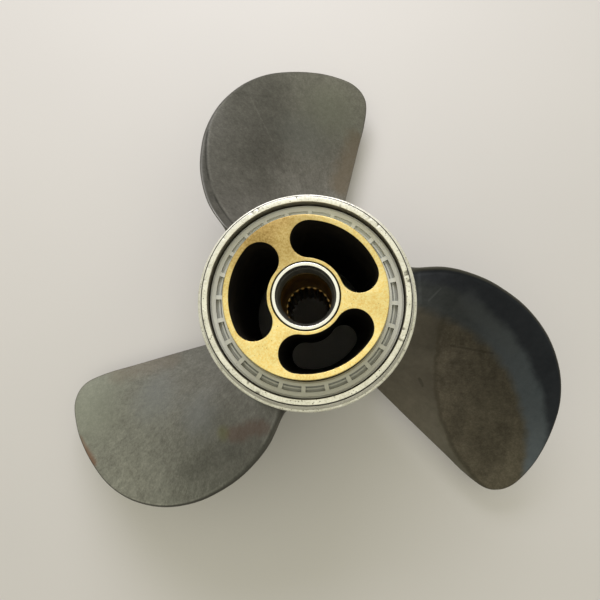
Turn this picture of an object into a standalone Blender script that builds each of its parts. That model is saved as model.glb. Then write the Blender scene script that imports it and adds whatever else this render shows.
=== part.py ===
"""Three-blade through-hub-exhaust outboard propeller with a cushioned bronze hub.

The propeller stands on the aft end of its hub: the shaft axis is Z, forward is up, and
the ground is z = 0. Blade 1 points along +Y. It is a right-hand propeller, so each blade
climbs towards its anticlockwise side as seen from the front. It is 368 mm (14.5 inches)
over the blade tips. Angles are in degrees; a *_TURN is counted from blade 1.
Sizes are in millimetres here and turned into metres by MM.
"""

import math

import bmesh
import bpy
from mathutils import Vector

MM = 0.001
GAP = 0.3  # clearance between pieces that are fitted, bonded or welded together

# Blades
BLADES = 3
PITCH = 655.0  # 25.8 inch
RAKE = -0.042  # rise of the blade for each millimetre outwards
BLADE_PLANE_Z = 62.0
RAKE_ZERO_R = 120.0
ROOT_THICK, TIP_THICK, EDGE_THICK = 14.0, 4.0, 1.8
ROOT_FILLET = 6.0
TRAILING_EDGE = [(23.7, 51.7), (39.2, 88.4), (54.2, 125.3), (61.5, 143.0), (65.8, 159.0)]
TIP_EDGE = [(65.8, 159.0), (63.8, 168.2), (56.8, 174.8), (45.5, 178.1), (31.0, 179.3),
            (12.0, 177.1), (-7.5, 170.9), (-25.0, 158.8)]
LEADING_EDGE = [(-36.7, 43.4), (-46.0, 61.5), (-50.4, 79.0), (-51.4, 97.0), (-48.3, 119.1),
                (-39.4, 140.8), (-25.0, 158.8)]

# Barrel, the outer hub that carries the blades
BARREL_R = 56.4
LIP_R, LIP_Z = 56.8, 142.0
RIM_Z, RIM_IN_Z = 155.0, 153.2
RIM_R, RIM_IN_R = 51.8, 49.9
SHOULDER = [(52.1, 153.9), (52.6, 153.7), (53.9, 150.3), (55.4, 146.2), (56.5, 143.4)]
BARREL_BORE_R = 51.2
AFT_R = 60.0
AFT_FLARE = [(57.2, 11.0), (58.5, 5.0)]
AFT_IN_R, AFT_TAPER_Z = 53.2, 10.0
CLIP_GROOVE_DEEP = 0.7

# Guide rings between barrel and hub core
RING_OUT_R, RING_IN_R = 49.4, 41.2
RING_HIGH = 18.0
RING_FRONT_Z = 147.6
RING_AFT_Z = 46.5
POCKETS = 24
POCKET_R = (43.4, 46.4)
POCKET_DEEP = 2.6
RIB_THICK = 2.1
RIB_TURN = -10.0

# Hub core and what is in its bore
CORE_R = 39.8
CORE_Z = (43.4, 166.0)
BORE_R = 13.1
SLEEVE_SEAT_R, SLEEVE_SEAT_Z = 16.8, 150.0
BUSH_SEAT_R, BUSH_SEAT_TOP = 15.9, 99.6
BUSH_Z = (50.0, 99.0)
CLIP_Z = (46.4, 48.0)
BUSH_GROOVE_DEEP = 1.1
PASSAGES = 3
PASSAGE_TURN = -43.5
PASSAGE_R, PASSAGE_LOBE_R, PASSAGE_LOBE_TURN = 27.7, 9.2, 32.1
SPLINES = 22
SPLINE_ROOT_R, SPLINE_TIP_R = 12.9, 11.7
SPLINE_CORNERS = (0.0, 0.24, 0.42, 0.82)  # shares of one tooth: two at its tip, two at its root
SLEEVE_STEP_R, SLEEVE_MOUTH_R = 15.0, 14.5
SLEEVE_STEP_UP, SLEEVE_STEP_DOWN = 2.5, 6.5
SEAL_LIP_R = 12.8

# Drive keys on the barrel, lugs on the core and the rubber buffers between them
DRIVES = 3
KEY_TURN = 15.0
KEY_HALF, BUFFER_START, BUFFER_END, LUG_HALF = 9.0, 9.4, 44.5, 11.2
DRIVE_Z = (66.0, 128.4)
DRIVE_IN_R, DRIVE_OUT_R = 40.7, 50.9
LUG_R = 50.0

ROUND = 64  # facets of a full turn


def point_at(radius, degrees, height=0.0):
    angle = math.radians(degrees)
    return Vector((radius * math.cos(angle), radius * math.sin(angle), height)) * MM


def clear_scene():
    for obj in list(bpy.data.objects):
        bpy.data.objects.remove(obj, do_unlink=True)


def new_collection(name):
    collection = bpy.data.collections.new(name)
    bpy.context.scene.collection.children.link(collection)
    return collection


def material(name, colour, roughness, metallic):
    made = bpy.data.materials.new(name)
    made.use_nodes = True
    shader = made.node_tree.nodes["Principled BSDF"]
    shader.inputs["Base Color"].default_value = (*colour, 1.0)
    shader.inputs["Roughness"].default_value = roughness
    shader.inputs["Metallic"].default_value = metallic
    return made


def add_object(name, mesh, collection, look=None, sharp=35.0):
    obj = bpy.data.objects.new(name, mesh)
    collection.objects.link(obj)
    if look:
        mesh.materials.append(look)
        mesh.shade_smooth()
        mesh.set_sharp_from_angle(angle=math.radians(sharp))
    return obj


def mesh_from(name, shape):
    """The bmesh as a mesh whose faces point outwards."""
    bmesh.ops.recalc_face_normals(shape, faces=shape.faces)
    mesh = bpy.data.meshes.new(name)
    shape.to_mesh(mesh)
    shape.free()
    return mesh


def turned(name, profile, collection, look, steps=ROUND):
    """A ring: the closed (radius, z) profile runs down its outer side, then up its inner side."""
    shape = bmesh.new()
    points = [shape.verts.new(Vector((r, 0.0, z)) * MM) for r, z in profile]
    for first, second in zip(points, points[1:] + points[:1]):
        shape.edges.new((first, second))
    mesh = bpy.data.meshes.new(name)
    shape.to_mesh(mesh)
    shape.free()
    obj = add_object(name, mesh, collection)
    screw = obj.modifiers.new("turn", "SCREW")
    screw.steps = screw.render_steps = steps
    screw.use_merge_vertices = True
    screw.merge_threshold = 0.00001
    screw.use_smooth_shade = True
    mesh.materials.append(look)
    return obj


def prism(outline, low, high):
    """A bmesh of the closed (x, y) outline, in metres, standing from low to high."""
    shape = bmesh.new()
    base = [shape.verts.new((x, y, low * MM)) for x, y in outline]
    face = shape.faces.new(base)
    lifted = bmesh.ops.extrude_face_region(shape, geom=[face])["geom"]
    tops = [item for item in lifted if isinstance(item, bmesh.types.BMVert)]
    bmesh.ops.translate(shape, verts=tops, vec=(0, 0, (high - low) * MM))
    return shape


def sector_outline(inner, outer, start, end, steps=10):
    turns = [start + (end - start) * i / steps for i in range(steps + 1)]
    there = [point_at(inner, turn) for turn in turns]
    back = [point_at(outer, turn) for turn in reversed(turns)]
    return [(p.x, p.y) for p in there + back]


def sector(name, radii, turns, heights, collection, look=None):
    outline = sector_outline(*radii, *turns)
    mesh = mesh_from(name, prism(outline, *heights))
    return add_object(name, mesh, collection, look)


def cut_or_join(obj, helper, operation):
    helper.hide_render = True
    helper.display_type = "WIRE"
    boolean = obj.modifiers.new(helper.name, "BOOLEAN")
    boolean.operation = operation
    boolean.object = helper


def smooth_line(points, count):
    """count + 1 points spread evenly along a smooth curve through the points."""
    dense = []
    ends = [2 * points[0] - points[1], *points, 2 * points[-1] - points[-2]]
    for a, b, c, d in zip(ends, ends[1:], ends[2:], ends[3:]):
        for i in range(24):
            t = i / 24
            dense.append(0.5 * (2 * b + (c - a) * t + (2 * a - 5 * b + 4 * c - d) * t * t
                                + (3 * b - a - 3 * c + d) * t ** 3))
    dense.append(points[-1])
    along = [0.0]
    for a, b in zip(dense, dense[1:]):
        along.append(along[-1] + (b - a).length)
    spread, at = [], 0
    for i in range(count + 1):
        want = along[-1] * i / count
        while at < len(dense) - 2 and along[at + 1] < want:
            at += 1
        share = (want - along[at]) / (along[at + 1] - along[at])
        spread.append(dense[at].lerp(dense[at + 1], min(1.0, share)))
    return spread


def blade_height(point):
    """Height of the blade's middle surface over a point of its plan, in millimetres."""
    turn = math.degrees(math.atan2(-point.x, point.y))
    return BLADE_PLANE_Z + PITCH * turn / 360 + RAKE * (point.length - RAKE_ZERO_R)


def blade_normal(point):
    step = 0.01
    along_x = blade_height(point + Vector((step, 0))) - blade_height(point - Vector((step, 0)))
    along_y = blade_height(point + Vector((0, step))) - blade_height(point - Vector((0, step)))
    return Vector((-along_x / (2 * step), -along_y / (2 * step), 1.0)).normalized()


def close_root(shape, pairs, radius, parts=5):
    """Close the blade's open root with faces that follow the barrel's round side."""
    columns = []
    for low, high in pairs:
        column = [low]
        for k in range(1, parts if low is not pairs[0][0] and low is not pairs[-1][0] else 1):
            place = low.co.lerp(high.co, k / parts)
            place.xy = place.xy.normalized() * radius * MM
            column.append(shape.verts.new(place))
        columns.append([*column, high])
    for first, second in zip(columns, columns[1:]):
        if len(first) != len(second):
            shape.faces.new([*first, *reversed(second)])
            continue
        for k in range(parts):
            shape.faces.new([first[k], second[k], second[k + 1], first[k + 1]])


def blade_mesh(name, across=12, outwards=16):
    """One blade: a plan patch between its four edges, lifted to the helix and thickened."""
    root_r = BARREL_R + GAP
    trailing = smooth_line([Vector(p) for p in TRAILING_EDGE], outwards)
    leading = smooth_line([Vector(p) for p in LEADING_EDGE], outwards)
    tip = smooth_line([Vector(p) for p in TIP_EDGE], across)
    first = math.atan2(-trailing[0].x, trailing[0].y)
    last = math.atan2(-leading[0].x, leading[0].y)
    root = []
    for i in range(across + 1):
        turn = first + (last - first) * i / across
        root.append(Vector((-math.sin(turn), math.cos(turn))) * root_r)

    def plan(i, j):
        s, t = i / across, (j / outwards) ** 1.35
        row = t * outwards
        low = min(int(row), outwards - 1)
        left = trailing[low].lerp(trailing[low + 1], row - low)
        right = leading[low].lerp(leading[low + 1], row - low)
        corners = ((1 - s) * (1 - t) * root[0] + s * (1 - t) * root[-1]
                   + (1 - s) * t * tip[0] + s * t * tip[-1])
        return (1 - t) * root[i] + t * tip[i] + (1 - s) * left + s * right - corners

    def half_thickness(point, i, j):
        s, t = i / across, j / outwards
        middle = ROOT_THICK + (TIP_THICK - ROOT_THICK) * min(1.0, (point.length - root_r) / 110)
        bulge = (1 - (2 * s - 1) ** 2) * min(1.0, 4 * (1 - t))
        height = EDGE_THICK + (middle - EDGE_THICK) * bulge ** 0.8
        rise = min(1.0, max(0.0, 1 - (point.length - root_r) / ROOT_FILLET))
        fillet = ROOT_FILLET * (1 - math.sqrt(1 - rise * rise)) * math.sqrt(4 * s * (1 - s))
        return height / 2 + fillet

    shape = bmesh.new()
    sides = {}
    for i in range(across + 1):
        for j in range(outwards + 1):
            point = plan(i, j)
            middle = Vector((point.x, point.y, blade_height(point)))
            offset = blade_normal(point) * half_thickness(point, i, j)
            for side in (-1, 1):
                place = middle + side * offset
                if j == 0:
                    place.xy = place.xy.normalized() * root_r
                sides[i, j, side] = shape.verts.new(place * MM)
    for i in range(across):
        for j in range(outwards):
            for side in (-1, 1):
                shape.faces.new([sides[i, j, side], sides[i + 1, j, side],
                                 sides[i + 1, j + 1, side], sides[i, j + 1, side]])
    rim = ([(across, j) for j in range(outwards + 1)]
           + [(i, outwards) for i in range(across - 1, -1, -1)]
           + [(0, j) for j in range(outwards - 1, -1, -1)])
    for a, b in zip(rim, rim[1:]):
        shape.faces.new([sides[*a, -1], sides[*b, -1], sides[*b, 1], sides[*a, 1]])
    close_root(shape, [(sides[i, 0, -1], sides[i, 0, 1]) for i in range(across + 1)], root_r)
    return mesh_from(name, shape)


def make_blades(collection, look):
    mesh = blade_mesh("blade")
    for number in range(BLADES):
        blade = add_object(f"blade_{number + 1}", mesh, collection)
        blade.rotation_euler.z = math.radians(360 / BLADES * number)
    mesh.materials.append(look)
    mesh.shade_smooth()


def make_barrel(collection, look):
    """The outer hub: machined rim, rounded shoulder, plain middle and flared aft end."""
    clip_low, clip_high = RING_AFT_Z - 2.6, RING_AFT_Z - 0.4
    profile = [(RIM_R, RIM_Z), *SHOULDER, (LIP_R, LIP_Z), (LIP_R - 0.1, LIP_Z - 1.4),
               (BARREL_R, LIP_Z - 2.0), (BARREL_R, 17.0), *AFT_FLARE, (AFT_R, 2.0),
               (AFT_R - 0.8, 0.0), (AFT_IN_R + 0.8, 0.0), (AFT_IN_R, 0.8),
               (RIM_IN_R, AFT_TAPER_Z), (RIM_IN_R, clip_low),
               (BARREL_BORE_R + CLIP_GROOVE_DEEP, clip_low),
               (BARREL_BORE_R + CLIP_GROOVE_DEEP, clip_high), (RIM_IN_R, clip_high),
               (RIM_IN_R, DRIVE_Z[0] - 0.9), (BARREL_BORE_R, DRIVE_Z[0] - 0.4),
               (BARREL_BORE_R, DRIVE_Z[1] + 0.5), (RIM_IN_R, DRIVE_Z[1] + 1.0),
               (RIM_IN_R, RIM_IN_Z)]
    turned("hub_barrel", profile, collection, look)


def pocket_cutters(name, floor, top, collection):
    """The ring's pockets as one helper of separate blocks, open at top."""
    middle_r = sum(POCKET_R) / 2
    half = 180 / POCKETS - math.degrees(RIB_THICK / 2 / middle_r)
    whole = bmesh.new()
    for number in range(POCKETS):
        turn = 90 + RIB_TURN + 360 / POCKETS * (number + 0.5)
        outline = sector_outline(*POCKET_R, turn - half, turn + half, steps=2)
        block = prism(outline, floor, top)
        mesh = mesh_from("block", block)
        whole.from_mesh(mesh)
        bpy.data.meshes.remove(mesh)
    return add_object(name, mesh_from(name, whole), collection)


def make_guide_rings(collection, helpers, look):
    """Polymer rings that centre the core in the barrel; pockets face the open ends."""
    for name, low, pocket_low, pocket_high in (
        ("front_guide_ring", RING_FRONT_Z - RING_HIGH, RING_FRONT_Z - POCKET_DEEP,
         RING_FRONT_Z + 2),
        ("aft_guide_ring", RING_AFT_Z, RING_AFT_Z - 2, RING_AFT_Z + POCKET_DEEP),
    ):
        high = low + RING_HIGH
        profile = [(RING_OUT_R, high), (RING_OUT_R, low), (RING_IN_R, low), (RING_IN_R, high)]
        ring = turned(name, profile, collection, look)
        cutter = pocket_cutters(f"{name}_pockets", pocket_low, pocket_high, helpers)
        cut_or_join(ring, cutter, "DIFFERENCE")


def passage_outline(turn, steps=12):
    """A kidney: two round lobes joined by an outer and an inner arc about the shaft axis."""
    def arc(radius, direction):
        turns = [turn + direction * PASSAGE_LOBE_TURN * (2 * i / steps - 1)
                 for i in range(steps + 1)]
        return [point_at(radius, at) for at in turns]

    def lobe(side, order):
        middle = turn + PASSAGE_LOBE_TURN * side
        centre = point_at(PASSAGE_R, middle)
        return [centre + point_at(PASSAGE_LOBE_R, middle + side * 18 * i) for i in order]

    points = (arc(PASSAGE_R + PASSAGE_LOBE_R, 1) + lobe(1, range(1, 10))
              + arc(PASSAGE_R - PASSAGE_LOBE_R, -1) + lobe(-1, range(9, 0, -1)))
    return [(p.x, p.y) for p in points]


def make_core(collection, helpers, look):
    """Bronze inner hub: stepped bore, three exhaust passages and three drive lugs."""
    low, high = CORE_Z
    clip_r = BUSH_SEAT_R + BUSH_GROOVE_DEEP
    profile = [(CORE_R - 0.6, high), (CORE_R, high - 0.6), (CORE_R, low + 1), (CORE_R - 1, low),
               (BUSH_SEAT_R + 0.6, low), (BUSH_SEAT_R, low + 1), (BUSH_SEAT_R, CLIP_Z[0] - GAP),
               (clip_r, CLIP_Z[0] - GAP), (clip_r, CLIP_Z[1] + GAP),
               (BUSH_SEAT_R, CLIP_Z[1] + GAP), (BUSH_SEAT_R, BUSH_SEAT_TOP),
               (BORE_R, BUSH_SEAT_TOP), (BORE_R, SLEEVE_SEAT_Z),
               (SLEEVE_SEAT_R, SLEEVE_SEAT_Z), (SLEEVE_SEAT_R, high)]
    core = turned("hub_core", profile, collection, look)
    for number in range(DRIVES):
        middle = 90 + KEY_TURN + 360 / DRIVES * (number + 0.5)
        lug = sector(f"core_lug_{number + 1}", (CORE_R - 3, LUG_R),
                     (middle - LUG_HALF, middle + LUG_HALF), DRIVE_Z, helpers)
        cut_or_join(core, lug, "UNION")
    for number in range(PASSAGES):
        outline = passage_outline(90 + PASSAGE_TURN + 360 / PASSAGES * number)
        name = f"passage_cutter_{number + 1}"
        mesh = mesh_from(name, prism(outline, low - 5, high + 5))
        cut_or_join(core, add_object(name, mesh, helpers), "DIFFERENCE")


def make_drive(collection, steel, rubber):
    """Three steel keys in the barrel, each between a forward and a reverse rubber buffer."""
    radii = (DRIVE_IN_R, DRIVE_OUT_R)
    for number in range(DRIVES):
        middle = 90 + KEY_TURN + 360 / DRIVES * number
        sector(f"drive_key_{number + 1}", radii, (middle - KEY_HALF, middle + KEY_HALF),
               DRIVE_Z, collection, steel)
        sector(f"forward_buffer_{number + 1}", radii, (middle + BUFFER_START, middle + BUFFER_END),
               DRIVE_Z, collection, rubber)
        sector(f"reverse_buffer_{number + 1}", radii, (middle - BUFFER_END, middle - BUFFER_START),
               DRIVE_Z, collection, rubber)


def make_bore_pieces(collection, bright, dark, brass):
    """The bright sleeve at the front of the bore, the dark seal in it and the spline bush."""
    top = CORE_Z[1] + 0.4
    low = SLEEVE_SEAT_Z + GAP
    step_low, step_high = low + SLEEVE_STEP_UP, top - SLEEVE_STEP_DOWN
    sleeve_r = SLEEVE_SEAT_R - 0.6
    profile = [(sleeve_r, top - 0.4), (sleeve_r, low), (BORE_R + 0.2, low),
               (BORE_R + 0.2, step_low), (SLEEVE_STEP_R, step_low), (SLEEVE_STEP_R, step_high),
               (SLEEVE_MOUTH_R, step_high + 1), (SLEEVE_MOUTH_R, top), (sleeve_r - 0.4, top)]
    turned("bore_sleeve", profile, collection, bright, steps=56)
    low, top = step_low + GAP, step_high - 0.4
    profile = [(SLEEVE_STEP_R - GAP, top), (SLEEVE_STEP_R - GAP, low), (SEAL_LIP_R, low),
               (SEAL_LIP_R, low + 3), (SEAL_LIP_R + 1.2, top)]
    turned("seal_ring", profile, collection, dark, steps=56)
    make_spline_bush(collection, brass)


def make_spline_bush(collection, look):
    """A bush whose bore holds the shaft splines: each tooth has two tip and two root corners."""
    shape = bmesh.new()
    count = SPLINES * 4
    outer_r = BUSH_SEAT_R - GAP
    loops = []
    for z in BUSH_Z:
        inner, outer = [], []
        for i in range(count):
            tooth, corner = divmod(i, 4)
            turn = (tooth + SPLINE_CORNERS[corner]) * 360 / SPLINES
            radius = SPLINE_TIP_R if corner < 2 else SPLINE_ROOT_R
            inner.append(shape.verts.new(point_at(radius, turn, z)))
            outer.append(shape.verts.new(point_at(outer_r, turn, z)))
        loops.append((inner, outer))
    (inner_low, outer_low), (inner_high, outer_high) = loops
    for first, second in ((inner_low, outer_low), (inner_high, outer_high),
                          (inner_low, inner_high), (outer_low, outer_high)):
        for i in range(count):
            j = (i + 1) % count
            shape.faces.new([first[i], first[j], second[j], second[i]])
    add_object("spline_bush", mesh_from("spline_bush", shape), collection, look)


def make_circlips(collection, steel):
    """Split spring rings: one holds the spline bush, one holds the aft guide ring."""
    clip_outer_r = BARREL_BORE_R + CLIP_GROOVE_DEEP - GAP
    bush_outer_r = BUSH_SEAT_R + BUSH_GROOVE_DEEP - GAP
    for name, radii, heights, gap_from, gap_to in (
        ("bush_circlip", (13.9, bush_outer_r), CLIP_Z, -9, 9),
        ("aft_circlip", (47.0, clip_outer_r), (RING_AFT_Z - 2.2, RING_AFT_Z - 0.8), 266, 274),
    ):
        outline = sector_outline(*radii, gap_to, gap_from + 360, steps=40)
        add_object(name, mesh_from(name, prism(outline, *heights)), collection, steel)


def main():
    clear_scene()
    parts = new_collection("boat_propeller")
    helpers = new_collection("cutters")
    cast = material("cast_stainless", (0.26, 0.26, 0.25), 0.38, 1.0)
    machined = material("machined_stainless", (0.72, 0.71, 0.67), 0.3, 1.0)
    polymer = material("grey_polymer", (0.42, 0.46, 0.48), 0.5, 0.0)
    bronze = material("bronze", (0.68, 0.46, 0.17), 0.42, 1.0)
    brass = material("spline_brass", (0.55, 0.36, 0.13), 0.35, 1.0)
    bright = material("bright_steel", (0.85, 0.85, 0.84), 0.2, 1.0)
    spring = material("spring_steel", (0.3, 0.3, 0.31), 0.35, 1.0)
    seal = material("dark_seal", (0.05, 0.05, 0.05), 0.5, 0.0)
    rubber = material("black_rubber", (0.02, 0.02, 0.02), 0.7, 0.0)
    make_barrel(parts, machined)
    make_blades(parts, cast)
    make_guide_rings(parts, helpers, polymer)
    make_core(parts, helpers, bronze)
    make_drive(parts, spring, rubber)
    make_bore_pieces(parts, bright, seal, brass)
    make_circlips(parts, spring)


main()
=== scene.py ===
"""Looks of the three-blade outboard propeller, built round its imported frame.

Each piece that can be seen is made here in mesh code at its CAD size and takes the CAD
node's place. The keys, buffers and circlips keep their CAD shape and get a finish.
The shaft axis is Z, the bow is up, blade 1 lies along +Y and the ground is z = 0.
Sizes are in millimetres and become metres through MM.
"""

import math

import bmesh
import bpy
import numpy as np
from mathutils import Matrix, Vector, noise


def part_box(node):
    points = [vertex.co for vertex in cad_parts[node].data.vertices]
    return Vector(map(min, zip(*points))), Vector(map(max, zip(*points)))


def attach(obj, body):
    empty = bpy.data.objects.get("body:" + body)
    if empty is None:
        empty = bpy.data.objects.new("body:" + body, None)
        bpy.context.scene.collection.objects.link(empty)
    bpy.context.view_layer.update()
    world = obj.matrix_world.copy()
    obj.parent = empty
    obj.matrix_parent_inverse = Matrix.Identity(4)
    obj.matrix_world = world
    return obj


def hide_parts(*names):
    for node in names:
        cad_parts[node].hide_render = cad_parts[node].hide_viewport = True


MM = 0.001
BLADES = 3

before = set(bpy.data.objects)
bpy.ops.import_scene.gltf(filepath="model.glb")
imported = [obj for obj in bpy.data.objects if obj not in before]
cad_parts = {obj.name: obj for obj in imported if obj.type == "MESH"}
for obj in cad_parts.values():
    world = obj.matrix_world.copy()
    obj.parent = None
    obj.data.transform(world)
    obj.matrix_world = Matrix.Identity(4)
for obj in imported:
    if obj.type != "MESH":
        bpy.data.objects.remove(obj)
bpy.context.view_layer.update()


def node_box(name):
    low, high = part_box(name)
    return [v / MM for v in low], [v / MM for v in high]


# Sizes read from the frame
BARREL_HIGH = node_box("hub_barrel")[1]
AFT_R, RIM_Z = BARREL_HIGH[0], BARREL_HIGH[2]
CORE_LOW, CORE_HIGH = node_box("hub_core")
RING_LOW, RING_HIGH = node_box("front_guide_ring")
AFT_RING_LOW, AFT_RING_HIGH = node_box("aft_guide_ring")
RING_OUT_R = RING_HIGH[0]
SLEEVE_LOW, SLEEVE_HIGH = node_box("bore_sleeve")
SEAL_LOW, SEAL_HIGH = node_box("seal_ring")
BUSH_LOW, BUSH_HIGH = node_box("spline_bush")

# Sizes that follow the CAD model's own
BARREL_R, LIP_R, LIP_Z = 56.4, 56.8, 142.0
RIM_R, RIM_IN_R, RIM_IN_Z = 52.1, 49.9, RIM_Z - 1.8
BARREL_BORE_R, CLIP_GROOVE_DEEP = 51.2, 0.7
DRIVE_Z = (66.0, 128.4)
RING_IN_R, POCKET_R = 41.2, (43.4, 46.4)
POCKETS, RIB_THICK, RIB_TURN, POCKET_DEEP = 24, 2.1, -10.0, 2.6
CROWN_FALL = (0.4, 0.0, 0.0, 0.0, 0.0, 0.0, 0.1, 0.5)  # how far the ring falls at each radius
RING_SHADE = (0.85, 0.45, 0.36, 0.28, 0.26, 0.36, 0.0, 0.25)  # and how much painted shade it gets there
CORE_R, BORE_R = 39.8, 13.1
SLEEVE_SEAT_R, SLEEVE_SEAT_Z = 16.8, 150.0
BUSH_SEAT_R, CLIP_Z = 15.9, (46.4, 48.0)
PASSAGE_TURN, PASSAGE_R, LOBE_R, LOBE_TURN = -43.5, 27.7, 9.2, 32.1
KEY_TURN, LUG_HALF, LUG_R = 15.0, 11.2, 50.0
SPLINES, SPLINE_ROOT_R, SPLINE_TIP_R = 22, 12.9, 11.7
SPLINE_STEPS = 16  # sides of the bore for each spline

# Visual detail of the barrel
NICKS, NICK_SEED = 52, 7
GROOVE_END_R = RIM_R + 0.62

# Blades
PITCH, RAKE, BLADE_PLANE_Z, RAKE_ZERO_R = 655.0, -0.042, 62.0, 120.0
ROOT_R = BARREL_R - 0.3
ROOT_THICK, TIP_THICK, THINNEST = 14.0, 4.0, 1.9
EDGE_R, FRONT_SLOPE, BACK_SLOPE = 1.0, 0.12, 0.22
FILLET_REACH, FILLET_HIGH = 8.0, 7.0
WAVE_LONG, WAVE_HIGH = 30.0, 0.22
# Painted dark reflection along each blade's rounded edge
EDGE_REFLECTION_GREY = (0.15, 0.147, 0.135)
BANDS = (3.5, 0.9, 0.9)  # widest the ground band inside each blade's leading edge gets
# Painted shade: how far each blade's ground band and its crease line are darkened
BAND_SHADES, CREASE_SHADES = (0.74, 0.95, 1.0), (0.58, 0.82, 0.92)
BAND_WIDEST_R, BAND_REACH, BAND_DEEP = 74.0, 67.0, 0.45
CREASE_WIDE, CREASE_DEEP = 0.5, 0.16
TRAILING_EDGE = [(23.7, 51.7), (39.2, 88.4), (54.2, 125.3), (61.5, 143.0), (65.8, 159.0)]
TIP_EDGE = [(65.8, 159.0), (63.8, 168.2), (56.8, 174.8), (45.5, 178.1), (31.0, 179.3),
            (12.0, 177.1), (-7.5, 170.9), (-25.0, 158.8)]
LEADING_EDGE = [(-36.7, 43.4), (-46.0, 61.5), (-50.4, 79.0), (-51.4, 97.0), (-48.3, 119.1),
                (-39.4, 140.8), (-25.0, 158.8)]


# ---------------- mesh helpers

def on_circle(radius, degrees):
    angle = math.radians(degrees)
    return radius * math.cos(angle), radius * math.sin(angle)


def new_object(name, data):
    obj = bpy.data.objects.new(name, data)
    bpy.context.scene.collection.objects.link(obj)
    return obj


def make_mesh(name, points, faces):
    """A mesh of points in millimetres, with its faces turned outwards."""
    mesh = bpy.data.meshes.new(name)
    mesh.from_pydata([Vector(p) * MM for p in points], [], faces)
    shape = bmesh.new()
    shape.from_mesh(mesh)
    bmesh.ops.recalc_face_normals(shape, faces=shape.faces)
    shape.to_mesh(mesh)
    shape.free()
    return mesh


def mark_points(mesh, name, values):
    """Give each of the mesh's points a number that its material reads."""
    mesh.attributes.new(name, "FLOAT", "POINT").data.foreach_set("value", values)


def finish_piece(obj, body, replaced, look, sharp=40.0):
    if look:
        obj.data.materials.clear()
        obj.data.materials.append(look)
    obj.data.shade_smooth()
    if sharp:
        obj.data.set_sharp_from_angle(angle=math.radians(sharp))
    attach(obj, body)
    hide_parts(*replaced)
    return obj


def rounded(profile, parts=4):
    """The closed (radius, z, corner) outline with each corner turned into an arc."""
    points = []
    count = len(profile)
    for i, (r, z, corner) in enumerate(profile):
        here = Vector((r, z))
        if not corner:
            points.append((r, z))
            continue
        before = Vector(profile[i - 1][:2]) - here
        after = Vector(profile[(i + 1) % count][:2]) - here
        reach = min(corner, before.length * 0.45, after.length * 0.45)
        start, end = here + before.normalized() * reach, here + after.normalized() * reach
        for k in range(parts + 1):
            t = k / parts
            bend = (1 - t) ** 2 * start + 2 * t * (1 - t) * here + t * t * end
            points.append((bend.x, bend.y))
    return points


def lathe_points(profile, steps):
    points, faces = [], []
    rows = len(profile)
    for i in range(steps):
        turn = 360 * i / steps
        points += [(*on_circle(r, turn), z) for r, z in profile]
    for i in range(steps):
        j = (i + 1) % steps
        for k in range(rows):
            m = (k + 1) % rows
            faces.append((i * rows + k, j * rows + k, j * rows + m, i * rows + m))
    return points, faces


def lathe(name, profile, steps=192):
    return new_object(name, make_mesh(name, *lathe_points(rounded(profile), steps)))


def prism_mesh(name, outline, low, high):
    count = len(outline)
    points = [(x, y, low) for x, y in outline] + [(x, y, high) for x, y in outline]
    faces = [tuple(range(count)), tuple(range(count, 2 * count))]
    for i in range(count):
        j = (i + 1) % count
        faces.append((i, j, j + count, i + count))
    return make_mesh(name, points, faces)


def apply_modifiers(obj):
    """Bake the object's modifiers into its mesh."""
    graph = bpy.context.evaluated_depsgraph_get()
    mesh = bpy.data.meshes.new_from_object(obj.evaluated_get(graph))
    obj.modifiers.clear()
    obj.data = mesh


def cut_away(obj, cutters):
    for cutter in cutters:
        boolean = obj.modifiers.new("cut", "BOOLEAN")
        boolean.operation = "DIFFERENCE"
        boolean.object = cutter
        boolean.material_mode = "TRANSFER"
    apply_modifiers(obj)
    for cutter in cutters:
        bpy.data.objects.remove(cutter)


def bevel_edges(obj, width, segments=2, angle=35.0):
    bevel = obj.modifiers.new("bevel", "BEVEL")
    bevel.width = width * MM
    bevel.segments = segments
    bevel.limit_method = "ANGLE"
    bevel.angle_limit = math.radians(angle)
    bevel.use_clamp_overlap = True
    apply_modifiers(obj)


# ---------------- material helpers

class Nodes:
    """Adds nodes to a tree; a value is a constant or another node's output."""

    def __init__(self, tree):
        self.tree = tree

    def put(self, socket, value):
        if isinstance(value, bpy.types.NodeSocket):
            self.tree.links.new(value, socket)
        elif isinstance(value, tuple) and len(value) == 3 and socket.type == "RGBA":
            socket.default_value = (*value, 1.0)
        else:
            socket.default_value = value

    def node(self, kind, values, **settings):
        """A new node's outputs; values go to its inputs and settings to its own fields."""
        node = self.tree.nodes.new("ShaderNode" + kind)
        for field, setting in settings.items():
            setattr(node, field, setting)
        for socket, value in values.items():
            self.put(node.inputs[socket], value)
        return node.outputs

    def maths(self, operation, first, second, third=0.0):
        return self.node("Math", {0: first, 1: second, 2: third}, operation=operation)[0]

    def both(self, first, second):
        return self.maths("MULTIPLY", first, second)

    def between(self, value, start, end):
        """0 at start and 1 at end, smooth and clamped."""
        low, high, at_low, at_high = (start, end, 0.0, 1.0) if start < end else (
            end, start, 1.0, 0.0)
        values = {"Value": value, "From Min": low, "From Max": high,
                  "To Min": at_low, "To Max": at_high}
        return self.node("MapRange", values, interpolation_type="SMOOTHSTEP")["Result"]


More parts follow.
